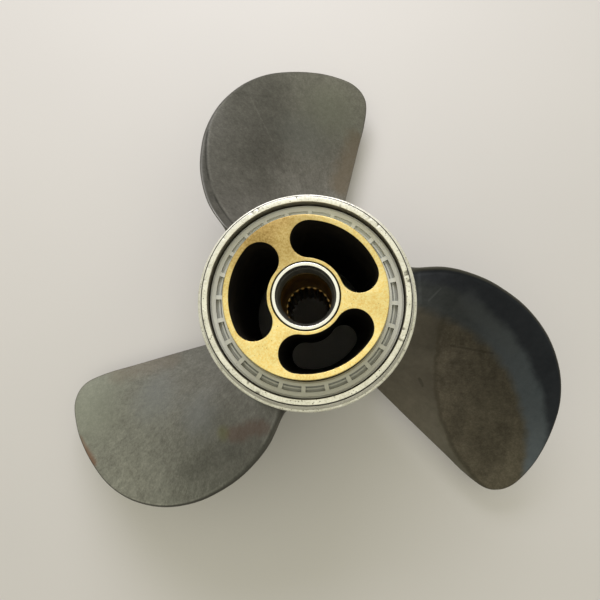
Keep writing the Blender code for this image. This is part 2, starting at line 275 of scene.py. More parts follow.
class Look(Nodes):
    """A procedural material under construction, with the colour reached so far.

    Its textures sit in the object's own space.
    """

    def __init__(self, name, metallic, roughness, turn=0.0):
        self.material = bpy.data.materials.new(name)
        self.material.use_nodes = True
        super().__init__(self.material.node_tree)
        self.shader = self.tree.nodes["Principled BSDF"]
        self.shader.inputs["Metallic"].default_value = metallic
        self.shader.inputs["Roughness"].default_value = roughness
        place = self.node("TexCoord", {})["Object"]
        rotation = (0.0, 0.0, math.radians(turn))
        self.place = self.node("Mapping", {"Vector": place, "Rotation": rotation})["Vector"]
        self.colour = None

    def stretched(self, scale):
        return self.node("Mapping", {"Vector": self.place, "Scale": scale})["Vector"]

    def noise(self, size, detail=5.0, rough=0.55, distortion=0.0, place=None):
        """Noise whose features are about size millimetres across."""
        values = {"Vector": place or self.place, "Scale": 1 / MM / size, "Detail": detail,
                  "Roughness": rough, "Distortion": distortion}
        return self.node("TexNoise", values)["Fac"]

    def cells(self, size):
        values = {"Vector": self.place, "Scale": 1 / MM / size}
        return self.node("TexVoronoi", values)["Distance"]

    def attribute(self, name):
        return self.node("Attribute", {}, attribute_name=name)["Fac"]

    def ramp(self, factor, *stops):
        """Colour or grey by position: each stop is (position, colour or grey)."""
        node = self.tree.nodes.new("ShaderNodeValToRGB")
        self.put(node.inputs["Fac"], factor)
        elements = node.color_ramp.elements
        while len(elements) < len(stops):
            elements.new(0.5)
        for element, (position, colour) in zip(elements, stops):
            element.position = position
            grey = (colour, colour, colour)
            element.color = (*(colour if isinstance(colour, tuple) else grey), 1.0)
        return node.outputs["Color"]

    def mix(self, factor, first, second, mode="MIX"):
        return self.node("Mix", {0: factor, 6: first, 7: second}, data_type="RGBA",
                         blend_type=mode)[2]

    def axes(self):
        return self.node("SeparateXYZ", {0: self.place})

    def vector(self, operation, first, second):
        other = "Scale" if operation == "SCALE" else 1
        return self.node("VectorMath", {0: first, other: second}, operation=operation)

    def wandering(self, distance, size, reach):
        """The distance, made longer and shorter by noise of that size and reach."""
        wander = self.maths("SUBTRACT", self.noise(size, 4, 0.6), 0.5)
        return self.maths("ADD", distance, self.both(wander, reach))

    def away(self, x, y, ragged=0.0):
        """Millimetres from the point in plan, with an edge that wanders by ragged."""
        plan = self.stretched((1.0, 1.0, 0.0))
        distance = self.vector("DISTANCE", plan, (x * MM, y * MM, 0.0))["Value"]
        distance = self.both(distance, 1 / MM)
        return self.wandering(distance, 14, 6 * ragged) if ragged else distance

    def spot(self, x, y, start, end, ragged=0.0):
        """0 at the start distance from the point in plan and 1 at the end distance."""
        return self.between(self.away(x, y, ragged), start, end)

    def stroke(self, start, end, width, ragged=0.0):
        """1 along a straight mark in plan from start to end, fading out over width."""
        a, b = Vector((*start, 0.0)) * MM, Vector((*end, 0.0)) * MM
        along = (b - a).normalized()
        offset = self.vector("SUBTRACT", self.stretched((1.0, 1.0, 0.0)), a)["Vector"]
        reach = self.vector("DOT_PRODUCT", offset, along)["Value"]
        reach = self.maths("MAXIMUM", self.maths("MINIMUM", reach, (b - a).length), 0.0)
        nearest = self.vector("SCALE", along, reach)["Vector"]
        distance = self.vector("DISTANCE", offset, nearest)["Value"]
        if ragged:
            distance = self.wandering(distance, 9, ragged * MM)
        return self.between(distance, width * MM, 0.2 * width * MM)

    def fan(self, x, y, scale):
        """Coordinates round the point in plan: features stretch out along its spokes."""
        split = self.axes()
        dx = self.maths("SUBTRACT", split[0], x * MM)
        dy = self.maths("SUBTRACT", split[1], y * MM)
        around = self.both(self.maths("ARCTAN2", dy, dx), 0.06)
        outwards = self.both(self.away(x, y), scale * MM)
        return self.node("CombineXYZ", {0: around, 1: outwards})[0]

    def blend(self, mask, colour):
        """Take the other colour where the mask is 1."""
        self.colour = self.mix(mask, self.colour, colour)

    def mark(self, mask, strength, colour):
        self.blend(self.both(mask, strength), colour)

    def multiply(self, shade):
        self.colour = self.mix(1.0, self.colour, shade, "MULTIPLY")

    def scale(self, mask, factor):
        """Multiply by factor where the mask is 1."""
        self.multiply(self.mix(mask, (1.0, 1.0, 1.0), (factor, factor, factor)))

    def overlay(self, strength, grain, dark, light):
        """Lay a grain over the colour: dark and light are (position, grey)."""
        self.colour = self.mix(strength, self.colour, self.ramp(grain, dark, light), "OVERLAY")

    def gradient(self, value, start, end, low, high):
        """Multiply by low * high at start, rising to high at end."""
        shade = self.ramp(self.between(value, start, end), (0.0, low), (1.0, 1.0))
        self.multiply(self.mix(1.0, shade, (high, high, high), "MULTIPLY"))

    def bump(self, height, distance, strength=1.0, under=None):
        values = {"Strength": strength, "Distance": distance * MM, "Height": height}
        if under:
            values["Normal"] = under
        return self.node("Bump", values)["Normal"]

    def finish(self, roughness=None, normal=None):
        self.put(self.shader.inputs["Base Color"], self.colour)
        if roughness is not None:
            self.put(self.shader.inputs["Roughness"], roughness)
        if normal:
            self.put(self.shader.inputs["Normal"], normal)
        return self.material


# ---------------- materials

def blade_base(number, turn, dark, light):
    """Hand-polished cast stainless: cloudy patches under two sizes of flecks."""
    look = Look(f"blade_{number}_steel", 1.0, 0.4, -turn)
    clouds = look.noise(40, 4, 0.6, 0.6)
    mottle = look.noise(6, 6, 0.7, 0.3)
    look.tone = look.maths("ADD", look.both(clouds, 0.5), look.both(mottle, 0.5))
    look.grain = look.noise(1.3, 3, 0.6)
    look.band, look.crease = BAND_SHADES[number - 1], CREASE_SHADES[number - 1]
    look.colour = look.ramp(look.tone, (0.38, dark), (0.62, light))
    look.overlay(0.3, look.grain, (0.35, 0.3), (0.68, 0.7))
    look.overlay(0.45, look.noise(2.8, 5, 0.75, 0.4), (0.36, 0.34), (0.66, 0.66))
    return look


def blade_finish(look, creases=None):
    """Paint shade on the ground band and along its crease line, a highlight line just inside it
    and a dark reflection on the edge, and roughen the skin.
    """
    inwards = look.attribute("band_mm")
    # Painted shade on the ground band.
    look.scale(look.between(inwards, 0.6, 0.0), look.band)
    broken = look.between(look.noise(26, 3, 0.5), 0.34, 0.5)
    # Painted shade along the crease line, broken here and there.
    line = look.both(look.between(inwards, -0.6, 0.0), look.between(inwards, 0.8, 0.2))
    look.scale(look.both(line, broken), look.crease)
    # Painted highlight: a light line just inside the crease.
    light = look.both(look.between(inwards, 0.6, 1.1), look.between(inwards, 2.0, 1.3))
    look.scale(look.both(light, broken), 1.18)
    # Painted dark reflection along the rounded edge.
    look.blend(look.between(look.attribute("edge_mm"), 1.3, 0.3), EDGE_REFLECTION_GREY)
    normal = look.bump(look.noise(16, 3, 0.5), 0.3, 0.5)
    if creases:
        normal = look.bump(creases, 0.25, 0.4, normal)
    normal = look.bump(look.noise(5, 4, 0.6), 0.1, 0.5, normal)
    normal = look.bump(look.grain, 0.03, 0.6, normal)
    return look.finish(look.ramp(look.tone, (0.3, 0.46), (0.7, 0.36)), normal)


def plain_blade_look(number, turn):
    """Even grey, greener at the tip's trailing side and browner along the trailing edge, with
    painted shade darkening it towards the leading edge.
    """
    look = blade_base(number, turn, (0.21, 0.205, 0.185), (0.31, 0.305, 0.28))
    look.mark(look.spot(36, 150, 34, 4, 2), 0.5, (0.28, 0.295, 0.245))
    look.mark(look.spot(12, 126, 26, 4, 2), 0.35, (0.25, 0.27, 0.265))
    look.mark(look.stroke((36, 96), (54, 130), 13, 9), 0.55, (0.27, 0.215, 0.15))
    look.scale(look.stroke((-2, 162), (-15, 104), 17, 12), 0.84)
    look.scale(look.stroke((-19.4, 150.5), (-8.8, 117.8), 0.7), 1.2)
    # Painted shade: darker towards the leading edge, lighter towards the trailing edge.
    look.gradient(look.axes()[0], -0.030, 0.050, 0.62, 1.22)
    return blade_finish(look)


def creased_blade_look(number, turn):
    """The brightest blade: fine folds fan out over it, with a heat tint near its root, painted
    shade darkening it towards the root and a painted lighter patch near the tip's leading side.
    """
    look = blade_base(number, turn, (0.27, 0.27, 0.24), (0.38, 0.385, 0.35))
    creases = look.noise(2.4, 4, 0.65, 0.6, look.fan(2, 70, 0.14))
    folds = look.ramp(creases, (0.38, 0.89), (0.5, 0.98), (0.62, 1.05))
    where = look.both(look.spot(-5, 75, 24, 60), look.spot(52, 166, 14, 40, 2))
    look.blend(where, look.mix(1.0, look.colour, folds, "MULTIPLY"))
    look.mark(look.spot(48, 164, 42, 6, 2), 0.45, (0.375, 0.405, 0.345))
    look.mark(look.stroke((40, 100), (57, 137), 12, 8), 0.4, (0.34, 0.29, 0.24))
    look.mark(look.spot(22, 118, 26, 2, 3), 0.5, (0.345, 0.37, 0.385))
    look.mark(look.spot(-8, 94, 22, 2, 3), 0.5, (0.345, 0.37, 0.385))
    look.scale(look.stroke((-37, 82), (-31, 116), 9, 8), 0.82)
    look.mark(look.stroke((-30.5, 79), (-37, 60), 6.5, 7), 0.5, (0.27, 0.165, 0.13))
    # Painted light: a lighter patch near the tip's leading side.
    look.scale(look.spot(-22, 152, 34, 8, 3), 1.16)
    look.mark(look.spot(-26.4, 84.2, 6.5, 1.5, 0.6), 0.5, (0.30, 0.30, 0.13))
    look.mark(look.stroke((31, 181), (12, 177), 5.5, 2), 0.6, (0.30, 0.12, 0.06))
    # Painted shade: darker towards the root, lighter towards the tip.
    look.gradient(look.axes()[1], 0.060, 0.160, 0.5, 1.24)
    return blade_finish(look, creases)


def stained_reflecting_blade_look(number, turn):
    """The darkest blade: an olive field, a grey inner corner and a painted blue-black reflection
    over the outer band, with painted shade darkening it towards the leading edge.
    """
    look = blade_base(number, turn, (0.15, 0.132, 0.10), (0.25, 0.222, 0.172))
    streaks = look.noise(5, 4, 0.65, 0.8, look.fan(-60, 60, 0.25))
    look.overlay(0.5, streaks, (0.36, 0.34), (0.64, 0.62))
    field = look.colour
    look.colour = look.mix(look.spot(54, 132, 62, 12, 2), (0.17, 0.155, 0.125),
                           (0.245, 0.228, 0.188))
    look.overlay(0.4, look.tone, (0.38, 0.3), (0.62, 0.62))
    inner = look.away(-83, 229, 0.8)
    look.colour = look.mix(look.between(inner, 163.0, 168.0), field, look.colour)
    line = look.both(look.between(inner, 162.4, 164.6), look.between(inner, 167, 165))
    look.mark(line, 0.5, (0.09, 0.08, 0.06))
    # Painted reflection: the blue-black band, bluer near the tip and blacker in its far part.
    dusk = look.ramp(look.tone, (0.38, (0.088, 0.098, 0.105)), (0.62, (0.13, 0.143, 0.15)))
    bright = look.ramp(look.tone, (0.38, (0.175, 0.205, 0.24)), (0.62, (0.235, 0.27, 0.31)))
    black = look.ramp(look.tone, (0.38, (0.06, 0.067, 0.084)), (0.62, (0.088, 0.098, 0.12)))
    outer = look.mix(look.spot(26, 172, 116, 50, 3), dusk, bright)
    look.blend(look.spot(79, 78, 100.5, 107.5, 1.2), outer)
    look.blend(look.spot(71, 81, 106.5, 112.5, 1.0), black)
    look.mark(look.stroke((-38, 84), (-24, 124), 8, 8), 0.4, (0.225, 0.25, 0.275))
    look.scale(look.stroke((-12.8, 89.2), (-17.9, 114.7), 1.1, 1.5), 0.72)
    look.scale(look.stroke((12.2, 83.4), (16.0, 88.3), 0.9, 2.5), 0.7)
    look.scale(look.stroke((-28.8, 62.4), (-36.4, 65.2), 0.8), 1.45)
    look.scale(look.stroke((-39.5, 47.5), (-26.0, 58.5), 1.5), 1.28)
    # Painted shade: darker towards the leading edge, lighter towards the trailing edge.
    look.gradient(look.axes()[0], -0.005, 0.045, 0.68, 1.3)
    return blade_finish(look)


def barrel_look():
    """Machined rim, pitted and nicked; polished cast side; dull inner wall."""
    look = Look("barrel_stainless", 1.0, 0.35)
    grain, blotch = look.noise(1.0, 4, 0.7), look.noise(7, 4, 0.6)
    look.colour = look.ramp(blotch, (0.3, (0.62, 0.61, 0.55)), (0.7, (0.80, 0.79, 0.73)))
    look.overlay(0.75, grain, (0.34, 0.28), (0.6, 0.66))
    wear_and_highlight = look.between(look.noise(9, 3, 0.6), 0.44, 0.6)
    pits = look.both(look.between(look.cells(1.3), 0.26, 0.12), wear_and_highlight)
    look.mark(pits, 0.8, (0.10, 0.09, 0.065))
    look.mark(look.between(look.attribute("nick_mm"), 0.05, 0.2), 0.75, (0.12, 0.11, 0.085))
    rim = look.colour
    look.colour = look.ramp(look.noise(24, 5, 0.6, 0.4), (0.3, (0.26, 0.255, 0.24)),
                            (0.7, (0.345, 0.335, 0.315)))
    look.overlay(0.35, grain, (0.34, 0.34), (0.62, 0.62))
    inner = look.ramp(blotch, (0.3, (0.15, 0.13, 0.095)), (0.7, (0.24, 0.21, 0.155)))
    zone = look.attribute("zone")
    look.blend(look.between(zone, 0.2, 0.8), rim)
    look.blend(look.between(zone, 1.2, 1.8), inner)
    rings = look.noise(1.2, 2, 0.5, 0.0, look.stretched((0.05, 0.05, 3.0)))
    normal = look.bump(grain, 0.06, 0.7, look.bump(rings, 0.04, 0.4))
    normal = look.bump(pits, -0.2, 0.8, normal)
    return look.finish(look.ramp(blotch, (0.3, 0.42), (0.7, 0.3)), normal)


def shoulder_look():
    """The turned shoulder below the rim: pale, dull and flecked with black."""
    look = Look("worn_shoulder", 0.3, 0.5)
    look.colour = look.ramp(look.noise(8, 4, 0.6), (0.3, (0.74, 0.73, 0.66)),
                            (0.7, (0.95, 0.94, 0.87)))
    grain = look.noise(1.1, 4, 0.75)
    look.overlay(0.8, grain, (0.38, 0.2), (0.58, 0.62))
    flecks = look.both(look.between(look.cells(1.4), 0.28, 0.12),
                       look.between(look.noise(6, 3, 0.6), 0.44, 0.58))
    look.mark(flecks, 0.8, (0.09, 0.08, 0.06))
    return look.finish(look.ramp(grain, (0.3, 0.6), (0.7, 0.4)), look.bump(grain, 0.08, 0.7))


def polymer_look():
    """Moulded grey polymer: satin and flecked with dust, with painted shade in its hollows and
    corners away from blade 1, and painted light making it paler towards blade 1.
    """
    look = Look("grey_polymer", 0.0, 0.45)
    look.colour = look.ramp(look.noise(14, 4, 0.6), (0.3, (0.82, 0.84, 0.80)),
                            (0.7, (0.92, 0.94, 0.89)))
    dust = look.between(look.noise(1.6, 4, 0.65), 0.62, 0.74)
    look.mark(dust, 0.4, (0.3, 0.3, 0.28))
    blade_side = look.axes()[1]
    # Painted light: paler towards blade 1.
    look.blend(look.between(blade_side, -0.01, 0.04), (0.94, 0.985, 0.99))
    # Painted shade in the hollows and corners, kept off the side towards blade 1.
    painted_shade = look.both(look.attribute("painted_shade"), look.between(blade_side, 0.07, -0.01))
    look.scale(painted_shade, 0.33)
    rough = look.ramp(look.noise(3, 3, 0.5), (0.3, 0.38), (0.7, 0.55))
    return look.finish(rough, look.bump(look.noise(0.6, 3, 0.6), 0.02, 0.6))


def bronze_look():
    """Machined bronze: golden and speckled, browner round one spot, with painted shade darkening
    it towards +Y.
    """
    look = Look("bronze", 1.0, 0.36)
    speck = look.noise(0.9, 4, 0.7)
    look.colour = look.ramp(look.noise(20, 4, 0.6, 0.5), (0.32, (0.80, 0.62, 0.255)),
                            (0.66, (0.98, 0.79, 0.345)))
    look.overlay(0.7, speck, (0.34, 0.24), (0.62, 0.74))
    darker_brown = look.ramp(speck, (0.34, (0.215, 0.13, 0.038)), (0.62, (0.51, 0.335, 0.118)))
    # Browner and darker round a spot on the +Y side.
    look.mark(look.spot(-18, 40, 46, 6, 4), 0.85, darker_brown)
    # Painted shade: darker towards +Y.
    look.gradient(look.axes()[1], 0.04, -0.04, 0.74, 1.0)
    dots = look.both(look.between(look.cells(1.5), 0.17, 0.08),
                     look.between(look.noise(10, 3, 0.6), 0.48, 0.62))
    look.blend(dots, (0.13, 0.085, 0.03))
    return look.finish(look.ramp(speck, (0.3, 0.3), (0.7, 0.45)), look.bump(speck, 0.06, 0.7))


def bore_look():
    """Tarnished bronze in the bore, with painted shade making it dark at its mouth."""
    look = Look("tarnished_bronze", 1.0, 0.42)
    patch = look.noise(6, 5, 0.6, 0.0, look.stretched((1.0, 1.0, 0.35)))
    look.colour = look.ramp(patch, (0.32, (0.34, 0.195, 0.05)), (0.7, (0.66, 0.42, 0.12)))
    # Painted shade: dark just below the sleeve seat, at the bore's mouth.
    look.scale(look.between(look.axes()[2], 0.147, 0.149), 0.15)
    return look.finish(None, look.bump(look.noise(1.2, 4, 0.6), 0.04))


def spline_look():
    """Broached brass teeth: painted highlight on the crowns over painted shade in the roots."""
    look = Look("spline_brass", 1.0, 0.28)
    brass = look.ramp(look.noise(2.5, 4, 0.6), (0.3, (0.6, 0.4, 0.13)), (0.7, (0.95, 0.72, 0.33)))
    # Painted highlight on the crowns, painted shade in the roots.
    look.colour = look.mix(look.attribute("crown"), (0.06, 0.035, 0.01), brass)
    return look.finish(None, look.bump(look.noise(0.7, 3, 0.6), 0.03))


def sleeve_look():
    """Ground steel: bright, with fine turning lines."""
    look = Look("bright_steel", 1.0, 0.22)
    rings = look.noise(0.8, 2, 0.5, 0.0, look.stretched((0.06, 0.06, 2.0)))
    look.colour = look.ramp(look.noise(5, 4, 0.6), (0.3, (0.78, 0.78, 0.76)),
                            (0.7, (0.92, 0.92, 0.9)))
    return look.finish(look.ramp(rings, (0.3, 0.18), (0.7, 0.34)), look.bump(rings, 0.02, 0.6))


def cloudy_look(name, metallic, roughness, clouds, dark, light, grain, rough=None):
    """Clouds of two colours, which are (position, colour); rough is (size, low, high).

    clouds is (size, detail) and grain (size, detail, depth).
    """
    look = Look(name, metallic, roughness)
    look.colour = look.ramp(look.noise(*clouds, 0.6), dark, light)
    if rough:
        size, low, high = rough
        rough = look.ramp(look.noise(size, 3, 0.5), (0.3, low), (0.7, high))
    return look.finish(rough, look.bump(look.noise(*grain[:2], 0.6), grain[2]))


def groove_look():
    """Dirt and painted shade in a turned groove."""
    return cloudy_look("groove_dirt_and_shade", 0.2, 0.7, (3, 4), (0.35, (0.035, 0.03, 0.022)),
                       (0.7, (0.11, 0.10, 0.08)), (0.8, 3, 0.05))


def soot_and_shade_look():
    """Exhaust passage wall: bronze under soot, painted near-black as the deep shade inside the
    passages.
    """
    return cloudy_look("sooted_shaded_bronze", 0.3, 0.7, (9, 5), (0.35, (0.006, 0.005, 0.004)),
                       (0.75, (0.035, 0.025, 0.014)), (1.5, 4, 0.12))


def seal_look():
    return cloudy_look("seal_black", 0.0, 0.5, (4, 4), (0.3, (0.03, 0.029, 0.025)),
                       (0.7, (0.075, 0.072, 0.062)), (0.9, 3, 0.03), (2, 0.35, 0.6))


def spring_look():
    return cloudy_look("spring_steel", 1.0, 0.3, (5, 4), (0.3, (0.14, 0.145, 0.16)),
                       (0.7, (0.36, 0.36, 0.37)), (0.7, 3, 0.02), (3, 0.25, 0.45))


def rubber_look():
    return cloudy_look("black_rubber", 0.0, 0.7, (6, 4), (0.3, (0.012, 0.012, 0.012)),
                       (0.7, (0.035, 0.034, 0.033)), (1.0, 4, 0.05), (3, 0.6, 0.85))


# ---------------- blades

def smooth_line(points, count, before=None, after=None):
    """count + 1 points spread evenly along a smooth curve through the points.

    The curve comes from before and goes on to after where they are given.
    """
    dense = []
    before = 2 * points[0] - points[1] if before is None else np.array(before)
    after = 2 * points[-1] - points[-2] if after is None else np.array(after)
    ends = [before, *points, after]
    for a, b, c, d in zip(ends, ends[1:], ends[2:], ends[3:]):
        for i in range(40):
            t = i / 40
            dense.append(0.5 * (2 * b + (c - a) * t + (2 * a - 5 * b + 4 * c - d) * t * t
                                + (3 * b - a - 3 * c + d) * t ** 3))
    dense = np.array([*dense, points[-1]])
    along = np.concatenate([[0.0], np.cumsum(np.hypot(*np.diff(dense, axis=0).T))])
    want = np.linspace(0.0, along[-1], count + 1)
    return np.stack([np.interp(want, along, dense[:, k]) for k in (0, 1)], axis=1)


def blade_height(x, y):
    turn = np.degrees(np.arctan2(-x, y))
    return BLADE_PLANE_Z + PITCH * turn / 360 + RAKE * (np.hypot(x, y) - RAKE_ZERO_R)


def crowded(count, share):
    """Positions from 0 to 1 that lie closer together near both ends."""
    even = np.linspace(0.0, 1.0, count + 1)
    return (1 - share) * even + share * (0.5 - 0.5 * np.cos(math.pi * even))


def distance_to(line, x, y):
    a, b = line[:-1], line[1:]
    ab = b - a
    px, py = x[..., None] - a[:, 0], y[..., None] - a[:, 1]
    t = np.clip((px * ab[:, 0] + py * ab[:, 1]) / (ab ** 2).sum(axis=1), 0, 1)
    return np.hypot(px - t * ab[:, 0], py - t * ab[:, 1]).min(axis=-1)


def blade_plan(across, outwards):
    """The blade's plan as a grid of points between its four edges."""
    edges = [np.array(edge, float) for edge in (TRAILING_EDGE, LEADING_EDGE, TIP_EDGE)]
    trailing = smooth_line(edges[0], 400, after=TIP_EDGE[1])
    leading = smooth_line(edges[1], 400, after=TIP_EDGE[-2])
    tip = smooth_line(edges[2], 400, TRAILING_EDGE[-2], LEADING_EDGE[-2])
    for line in (trailing, leading):
        line[0] *= ROOT_R / np.hypot(*line[0])
    s = crowded(across, 0.8)[:, None]
    t = np.linspace(0.0, 1.0, outwards + 1) ** 1.15
    t = (0.35 * t + 0.65 * np.sin(t * math.pi / 2))[None, :]
    first, last = (math.atan2(-line[0][0], line[0][1]) for line in (trailing, leading))
    turn = first + (last - first) * s
    root = np.stack([-np.sin(turn), np.cos(turn)], axis=-1) * ROOT_R

    def along(line, share):
        at = share * (len(line) - 1)
        index = np.arange(len(line))
        return np.stack([np.interp(at, index, line[:, k]) for k in (0, 1)], axis=-1)

    s3, t3 = s[..., None], t[..., None]
    tips = along(tip, s)
    corners = ((1 - s3) * (1 - t3) * root[0, 0] + s3 * (1 - t3) * root[-1, 0]
               + (1 - s3) * t3 * tip[0] + s3 * t3 * tip[-1])
    plan = ((1 - t3) * root + t3 * tips + (1 - s3) * along(trailing, t)
            + s3 * along(leading, t) - corners)
    return plan, s, trailing, leading, tip


def blade_thickness(radius, s, to_edge, to_leading, tip_share, band):
    """Half thickness of the front and of the back skin."""
    middle = ROOT_THICK + (TIP_THICK - ROOT_THICK) * np.clip((radius - ROOT_R) / 110, 0, 1)
    bulge = (1 - (2 * s - 1) ** 2) ** 0.8 * tip_share
    half = (THINNEST + (middle - THINNEST) * bulge) / 2
    nose = np.sqrt(np.clip(1 - (1 - np.clip(to_edge / EDGE_R, 0, 1)) ** 2, 0, 1))
    back = np.minimum(half, EDGE_R + BACK_SLOPE * to_edge) * nose
    ground = np.clip(to_leading / np.maximum(band, 0.01), 0, 1)
    crease = CREASE_DEEP * np.exp(-((to_leading - band) / CREASE_WIDE) ** 2)
    front = np.minimum(half, EDGE_R + FRONT_SLOPE * to_edge) * nose
    front = front - (BAND_DEEP * (1 - ground) + crease) * nose
    return np.maximum(front, 0.12 * nose), back


def blade_mesh(number, across=84, outwards=110):
    """One blade's skin, front and back, with how far each point is from its edges."""
    plan, s, trailing, leading, tip = blade_plan(across, outwards)
    x, y = plan[..., 0], plan[..., 1]
    radius = np.hypot(x, y)
    to_leading = distance_to(leading, x, y)
    to_edge = np.minimum(np.minimum(distance_to(trailing, x, y), to_leading),
                         distance_to(tip, x, y))
    tip_share = np.clip(distance_to(tip, x, y) / 40, 0, 1) ** 0.8
    band = BANDS[number - 1] * np.clip(1 - ((radius - BAND_WIDEST_R) / BAND_REACH) ** 2, 0, 1)
    front, back = blade_thickness(radius, s, to_edge, to_leading, tip_share, band)
    rise = np.clip(1 - (radius - ROOT_R) / FILLET_REACH, 0, 1)
    inside = np.clip(4 * s * (1 - s), 0, 1) ** 0.5
    fillet = FILLET_HIGH * (1 - np.sqrt(1 - rise ** 2)) * (0.25 + 0.75 * inside)
    step = 0.01
    slope_x = (blade_height(x + step, y) - blade_height(x - step, y)) / (2 * step)
    slope_y = (blade_height(x, y + step) - blade_height(x, y - step)) / (2 * step)
    normal = np.stack([-slope_x, -slope_y, np.ones_like(x)], axis=-1)
    normal /= np.linalg.norm(normal, axis=-1, keepdims=True)
    middle = np.stack([x, y, blade_height(x, y)], axis=-1)
    waves = np.array([[noise.noise(Vector(middle[i, j] / WAVE_LONG + 7.0 * number))
                       for j in range(outwards + 1)] for i in range(across + 1)])
    waves = WAVE_HIGH * waves * np.clip(to_edge / 12, 0, 1)
    skins = {1: middle + normal * (front + fillet + waves)[..., None],
             -1: middle - normal * (back + fillet - waves)[..., None]}
    index, points, edges, bands = {}, [], [], []
    for side in (1, -1):
        for i in range(across + 1):
            for j in range(outwards + 1):
                on_edge = i in (0, across) or j == outwards
                if side == -1 and on_edge and j > 0:
                    index[i, j, side] = index[i, j, 1]
                    continue
                point = middle[i, j] if on_edge and j > 0 else skins[side][i, j]
                if j == 0:
                    point = point * [*[ROOT_R / np.hypot(*point[:2])] * 2, 1.0]
                index[i, j, side] = len(points)
                points.append(tuple(point))
                edges.append(to_edge[i, j])
                bands.append(to_leading[i, j] - band[i, j])
    faces = []
    for side in (1, -1):
        for i in range(across):
            for j in range(outwards):
                corners = [index[i, j, side], index[i + 1, j, side],
                           index[i + 1, j + 1, side], index[i, j + 1, side]]
                if len(set(corners)) == 4:
                    faces.append(corners if side == 1 else corners[::-1])
    lower = [index[i, 0, -1] for i in range(across + 1)]
    upper = [index[i, 0, 1] for i in range(across + 1)]
    for i in range(across):
        faces.append([lower[i], lower[i + 1], upper[i + 1], upper[i]])
    faces.append([lower[0], upper[0], index[0, 1, 1]])
    faces.append([upper[-1], lower[-1], index[across, 1, 1]])
    mesh = make_mesh(f"blade_{number}_skin", points, faces)
    mark_points(mesh, "edge_mm", edges)
    mark_points(mesh, "band_mm", bands)
    return mesh


def make_blades():
    looks = (plain_blade_look, creased_blade_look, stained_reflecting_blade_look)
    for number, look in enumerate(looks, start=1):
        turn = 360 / BLADES * (number - 1)
        mesh = blade_mesh(number)
        mesh.transform(Matrix.Rotation(math.radians(turn), 4, "Z"))
        blade = new_object(f"blade_{number}_polished", mesh)
        finish_piece(blade, "barrel", [f"blade_{number}"],
                     look(number, turn), sharp=None)


# ---------------- barrel

def barrel_profile():
    """The barrel's (radius, z, corner) outline: rim face, dark groove, shoulder, lip and flare."""
    clip_low, clip_high = AFT_RING_LOW[2] - 2.6, AFT_RING_LOW[2] - 0.4
    groove_r = BARREL_BORE_R + CLIP_GROOVE_DEEP
    return [(RIM_R, RIM_Z, 0.3), (RIM_R + 0.1, RIM_Z - 2.0, 0.1),
            (RIM_R + 0.5, RIM_Z - 2.0, 0.1), (RIM_R + 0.6, RIM_Z - 1.2, 0.2),
            (53.1, RIM_Z - 1.7, 0.4), (55.1, 143.6, 0.3), (LIP_R - 0.2, 143.4, 0.4),
            (LIP_R, LIP_Z, 0.5), (LIP_R - 0.1, LIP_Z - 1.6, 0.3), (BARREL_R, LIP_Z - 2.2, 0.3),
            (BARREL_R, 90.0, 0), (BARREL_R, 50.0, 0), (BARREL_R, 17.0, 4.0), (57.2, 11.0, 3.0),
            (58.5, 5.0, 2.0), (AFT_R, 2.0, 0.8), (AFT_R - 0.8, 0.0, 0.4), (54.0, 0.0, 0.3),
            (53.2, 0.8, 0.4), (RIM_IN_R, 10.0, 2.0), (RIM_IN_R, clip_low, 0.1),
            (groove_r, clip_low, 0.1), (groove_r, clip_high, 0.1), (RIM_IN_R, clip_high, 0.1),
            (RIM_IN_R, DRIVE_Z[0] - 0.9, 0.1), (BARREL_BORE_R, DRIVE_Z[0] - 0.4, 0.1),
            (BARREL_BORE_R, DRIVE_Z[1] + 0.5, 0.1), (RIM_IN_R, DRIVE_Z[1] + 1.0, 0.1),
            (RIM_IN_R, RIM_IN_Z, 0.2), (RIM_IN_R - 0.45, RIM_IN_Z + 0.5, 0.1),
            (RIM_IN_R - 0.45, RIM_Z - 0.4, 0), (RIM_IN_R - 0.45, RIM_Z, 0.2)]


def make_barrel():
    """The outer hub, with nicks knocked into the edges of its rim."""
    points, faces = lathe_points(rounded(barrel_profile()), 540)
    points = np.array(points)
    rng = np.random.default_rng(NICK_SEED)
    radius, height = np.hypot(points[:, 0], points[:, 1]), points[:, 2]
    turn = np.arctan2(points[:, 1], points[:, 0])
    at_rim = (height > RIM_IN_Z - 1.0) & (radius > RIM_IN_R - 0.5) & (radius < 55.5)
    nick = np.zeros(len(points))
    for _ in range(NICKS):
        where = rng.uniform(-math.pi, math.pi)
        centre_r = rng.choice([RIM_IN_R + 0.2, RIM_R, RIM_R + 1.0])
        size, deep = rng.uniform(0.3, 0.85), rng.uniform(0.1, 0.4)
        off = (np.angle(np.exp(1j * (turn - where))) * centre_r) ** 2 + (radius - centre_r) ** 2
        dent = np.where(at_rim, deep * np.exp(-off / size ** 2), 0.0)
        height, nick = height - dent, nick + dent
    points[:, 2] = height
    mesh = make_mesh("hub_barrel_turned", points.tolist(), faces)
    inner = radius < RIM_IN_R + 2.0
    rim = (points[:, 2] > LIP_Z - 1.0) & ~(inner & (points[:, 2] + nick < RIM_Z - 0.4))
    zone = np.where(rim, 1.0, np.where(inner & (points[:, 2] > 4.0), 2.0, 0.0))
    mark_points(mesh, "zone", zone)
    mark_points(mesh, "nick_mm", nick)
    barrel = new_object("hub_barrel_turned", mesh)
    finish_piece(barrel, "barrel", ["hub_barrel"], barrel_look())
    for look in (groove_look(), shoulder_look()):
        barrel.data.materials.append(look)
    for face in barrel.data.polygons:
        centre = face.center / MM
        reach = math.hypot(centre.x, centre.y)
        if RIM_R - 0.05 < reach < GROOVE_END_R and 150 < centre.z < RIM_Z - 0.75:
            face.material_index = 1
        elif reach >= GROOVE_END_R and LIP_Z - 1.0 < centre.z and face.normal.z < 0.85:
            face.material_index = 2


# ---------------- guide rings

